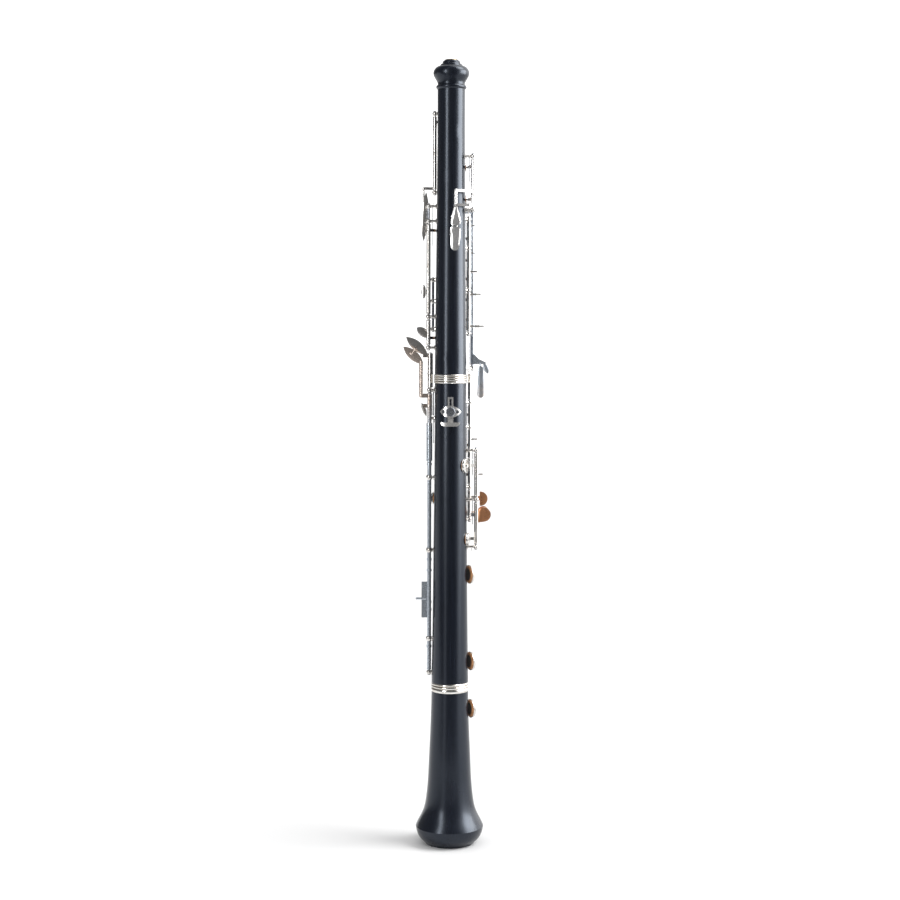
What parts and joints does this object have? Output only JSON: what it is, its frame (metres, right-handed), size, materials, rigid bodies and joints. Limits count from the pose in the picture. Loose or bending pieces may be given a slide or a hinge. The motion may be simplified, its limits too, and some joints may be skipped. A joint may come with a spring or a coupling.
{
  "type": "oboe",
  "caption": "Oboe with full conservatoire-style keywork: three wooden joints, hinged keys on steel rods, pads, posts, joint rings, a reed well and an adjustable thumb rest.",
  "frame": {"origin": "centre of the bell rim, in the plane that the oboe stands on", "axes": "+Z along the bore towards the reed well, +Y towards the front (finger side), -Y towards the thumb rest, +X towards the player's right"},
  "size_m": [0.0663, 0.0514, 0.591],
  "materials": {
    "blackwood": "fine-grained black wood, oiled and polished to a satin sheen",
    "key_silver": "polished silver plate, lightly tarnished",
    "ring_silver": "turned silver-plated rings",
    "steel": "blued and polished steel",
    "screw_metal": "plated screw heads, worn",
    "liner_metal": "dark, dull metal liner",
    "pad_leather": "orange-brown pad with a fine skin",
    "cork": "ground cork, greased"
  },
  "bodies": {
    "root": {"bell": "blackwood", "bell_joint_rings": "ring_silver", "hinge_rods": "steel", "lower_joint": "blackwood", "middle_joint_rings": "ring_silver", "needle_springs": "steel", "octave_vents": "liner_metal", "posts": "key_silver", "reed_well_liner": "liner_metal", "tenon_corks": "cork", "thumb_rest_plate": "key_silver", "thumb_rest_screws": "screw_metal", "upper_joint": "blackwood"},
    "second_octave_key": {"second_octave_key": "key_silver", "second_octave_pad": "pad_leather"},
    "third_octave_key": {"third_octave_key": "key_silver", "third_octave_pad": "pad_leather"},
    "first_octave_key": {"first_octave_key": "key_silver", "first_octave_pad": "pad_leather"},
    "right_trill_key": {"right_trill_key": "key_silver", "right_trill_pad": "pad_leather"},
    "left_trill_key": {"left_trill_key": "key_silver", "left_trill_pad": "pad_leather"},
    "b_plate": {"b_plate": "key_silver", "b_pad": "pad_leather"},
    "c_key": {"c_key": "key_silver", "c_pad": "pad_leather"},
    "a_plate": {"a_plate": "key_silver", "a_pad": "pad_leather"},
    "b_flat_key": {"b_flat_key": "key_silver", "b_flat_pad": "pad_leather"},
    "g_plate": {"g_plate": "key_silver", "g_pad": "pad_leather"},
    "g_sharp_key": {"g_sharp_key": "key_silver", "g_sharp_pad": "pad_leather"},
    "low_b_lever": {"low_b_lever": "key_silver"},
    "low_b_flat_lever": {"low_b_flat_lever": "key_silver"},
    "left_f_lever": {"left_f_lever": "key_silver"},
    "bridge_key": {"bridge_key": "key_silver"},
    "f_sharp_plate": {"f_sharp_plate": "key_silver", "f_sharp_pad": "pad_leather"},
    "e_plate": {"e_plate": "key_silver", "e_pad": "pad_leather"},
    "d_plate": {"d_plate": "key_silver", "d_pad": "pad_leather"},
    "forked_f_key": {"forked_f_key": "key_silver", "forked_f_pad": "pad_leather"},
    "e_flat_lever": {"e_flat_lever": "key_silver"},
    "c_sharp_lever": {"c_sharp_lever": "key_silver"},
    "e_flat_key": {"e_flat_key": "key_silver", "e_flat_pad": "pad_leather"},
    "c_sharp_key": {"c_sharp_key": "key_silver", "c_sharp_pad": "pad_leather"},
    "low_c_key": {"low_c_key": "key_silver", "low_c_pad": "pad_leather"},
    "low_b_key": {"low_b_key": "key_silver", "low_b_pad": "pad_leather"},
    "bell_key": {"bell_key": "key_silver", "bell_pad": "pad_leather"},
    "thumb_rest_hook": {"thumb_rest_hook": "key_silver"}
  },
  "joints": [
    {"name": "second_octave_key_hinge", "type": "hinge", "parent": "root", "child": "second_octave_key", "pos_m": [-0.01221, 0.00763, 0.52275], "axis": [0, 0, 1], "range_deg": [0, 8], "stiffness_Nm_per_rad": 0.05, "springref_deg": -6.88},
    {"name": "third_octave_key_hinge", "type": "hinge", "parent": "root", "child": "third_octave_key", "pos_m": [0.0163, -0.00317, 0.4996], "axis": [0, 0, 1], "range_deg": [-6.5, 0], "stiffness_Nm_per_rad": 0.05, "springref_deg": 6.88},
    {"name": "first_octave_key_hinge", "type": "hinge", "parent": "root", "child": "first_octave_key", "pos_m": [0.0163, -0.00317, 0.4996], "axis": [0, 0, 1], "range_deg": [-6.5, 0], "stiffness_Nm_per_rad": 0.05, "springref_deg": 6.88},
    {"name": "right_trill_key_hinge", "type": "hinge", "parent": "root", "child": "right_trill_key", "pos_m": [0.0164, 0.01082, 0.42225], "axis": [0, 0, 1], "range_deg": [-10, 0], "stiffness_Nm_per_rad": 0.05, "springref_deg": 6.88},
    {"name": "left_trill_key_hinge", "type": "hinge", "parent": "root", "child": "left_trill_key", "pos_m": [-0.0167, 0, 0.4299], "axis": [0, 0, 1], "range_deg": [0, 6], "stiffness_Nm_per_rad": 0.05, "springref_deg": -6.88},
    {"name": "b_plate_hinge", "type": "hinge", "parent": "root", "child": "b_plate", "pos_m": [0.01325, 0.00765, 0.43075], "axis": [0, 0, 1], "range_deg": [0, 7], "stiffness_Nm_per_rad": 0.05, "springref_deg": -6.88},
    {"name": "c_key_hinge", "type": "hinge", "parent": "root", "child": "c_key", "pos_m": [0.01325, 0.00765, 0.43075], "axis": [0, 0, 1], "range_deg": [0, 7]},
    {"name": "a_plate_hinge", "type": "hinge", "parent": "root", "child": "a_plate", "pos_m": [0.01325, 0.00765, 0.43075], "axis": [0, 0, 1], "range_deg": [0, 7], "stiffness_Nm_per_rad": 0.05, "springref_deg": -6.88},
    {"name": "b_flat_key_hinge", "type": "hinge", "parent": "root", "child": "b_flat_key", "pos_m": [0.01325, 0.00765, 0.43075], "axis": [0, 0, 1], "range_deg": [0, 7]},
    {"name": "g_plate_hinge", "type": "hinge", "parent": "root", "child": "g_plate", "pos_m": [0.01325, 0.00765, 0.43075], "axis": [0, 0, 1], "range_deg": [0, 7], "stiffness_Nm_per_rad": 0.05, "springref_deg": -6.88},
    {"name": "g_sharp_key_hinge", "type": "hinge", "parent": "root", "child": "g_sharp_key", "pos_m": [-0.0167, 0, 0.4299], "axis": [0, 0, 1], "range_deg": [0, 7], "stiffness_Nm_per_rad": 0.05, "springref_deg": -6.88},
    {"name": "low_b_lever_hinge", "type": "hinge", "parent": "root", "child": "low_b_lever", "pos_m": [-0.0153, 0.0045, 0.34775], "axis": [0, 0, 1], "range_deg": [0, 10], "stiffness_Nm_per_rad": 0.05, "springref_deg": -6.88},
    {"name": "low_b_flat_lever_hinge", "type": "hinge", "parent": "root", "child": "low_b_flat_lever", "pos_m": [-0.01589, -0.00055, 0.23825], "axis": [0, 0, 1], "range_deg": [0, 10], "stiffness_Nm_per_rad": 0.05, "springref_deg": -6.88},
    {"name": "left_f_lever_hinge", "type": "hinge", "parent": "root", "child": "left_f_lever", "pos_m": [-0.0153, 0.0045, 0.34775], "axis": [0, 0, 1], "range_deg": [0, 9], "stiffness_Nm_per_rad": 0.05, "springref_deg": -6.88},
    {"name": "bridge_key_hinge", "type": "hinge", "parent": "root", "child": "bridge_key", "pos_m": [0.01455, 0.0084, 0.29645], "axis": [0, 0, 1], "range_deg": [0, 7]},
    {"name": "f_sharp_plate_hinge", "type": "hinge", "parent": "root", "child": "f_sharp_plate", "pos_m": [0.01455, 0.0084, 0.29645], "axis": [0, 0, 1], "range_deg": [0, 7], "stiffness_Nm_per_rad": 0.05, "springref_deg": -6.88},
    {"name": "e_plate_hinge", "type": "hinge", "parent": "root", "child": "e_plate", "pos_m": [0.01455, 0.0084, 0.29645], "axis": [0, 0, 1], "range_deg": [0, 7], "stiffness_Nm_per_rad": 0.05, "springref_deg": -6.88},
    {"name": "d_plate_hinge", "type": "hinge", "parent": "root", "child": "d_plate", "pos_m": [0.01455, 0.0084, 0.29645], "axis": [0, 0, 1], "range_deg": [0, 7], "stiffness_Nm_per_rad": 0.05, "springref_deg": -6.88},
    {"name": "forked_f_key_hinge", "type": "hinge", "parent": "root", "child": "forked_f_key", "pos_m": [-0.00779, 0.01466, 0.2641], "axis": [0, 0, 1], "range_deg": [-6, 0]},
    {"name": "e_flat_lever_hinge", "type": "hinge", "parent": "root", "child": "e_flat_lever", "pos_m": [0.01455, 0.0084, 0.29645], "axis": [0, 0, 1], "range_deg": [-8, 0], "stiffness_Nm_per_rad": 0.05, "springref_deg": 6.88},
    {"name": "c_sharp_lever_hinge", "type": "hinge", "parent": "root", "child": "c_sharp_lever", "pos_m": [0.01455, 0.0084, 0.29645], "axis": [0, 0, 1], "range_deg": [-10, 0], "stiffness_Nm_per_rad": 0.05, "springref_deg": 6.88},
    {"name": "e_flat_key_hinge", "type": "hinge", "parent": "root", "child": "e_flat_key", "pos_m": [0.01957, 0.00103, 0.2634], "axis": [0, 0, 1], "range_deg": [0, 9.6]},
    {"name": "c_sharp_key_hinge", "type": "hinge", "parent": "root", "child": "c_sharp_key", "pos_m": [0.01957, 0.00103, 0.2634], "axis": [0, 0, 1], "range_deg": [0, 15]},
    {"name": "low_c_key_hinge", "type": "hinge", "parent": "root", "child": "low_c_key", "pos_m": [0.0107, 0.01472, 0.197], "axis": [0, 0, 1], "range_deg": [-13, 0], "stiffness_Nm_per_rad": 0.05, "springref_deg": 6.88},
    {"name": "low_b_key_hinge", "type": "hinge", "parent": "root", "child": "low_b_key", "pos_m": [0.0107, 0.01472, 0.197], "axis": [0, 0, 1], "range_deg": [-13, 0]},
    {"name": "bell_key_hinge", "type": "hinge", "parent": "root", "child": "bell_key", "pos_m": [0.01145, 0.01466, 0.1015], "axis": [0, 0, 1], "range_deg": [-12, 0]},
    {"name": "thumb_rest_height", "type": "slide", "parent": "root", "child": "thumb_rest_hook", "axis": [0, 0, 1], "range_m": [-0.006, 0.003]}
  ],
  "couplings": [
    {"joint": "c_key_hinge", "follows": "a_plate_hinge", "ratio": 1},
    {"joint": "b_flat_key_hinge", "follows": "g_plate_hinge", "ratio": 1},
    {"joint": "bridge_key_hinge", "follows": "f_sharp_plate_hinge", "ratio": 1},
    {"joint": "forked_f_key_hinge", "follows": "left_f_lever_hinge", "ratio": -0.6666},
    {"joint": "e_flat_key_hinge", "follows": "e_flat_lever_hinge", "ratio": -1.2},
    {"joint": "c_sharp_key_hinge", "follows": "c_sharp_lever_hinge", "ratio": -1.5},
    {"joint": "low_b_key_hinge", "follows": "low_b_lever_hinge", "ratio": -1.3},
    {"joint": "bell_key_hinge", "follows": "low_b_flat_lever_hinge", "ratio": -1.2}
  ]
}
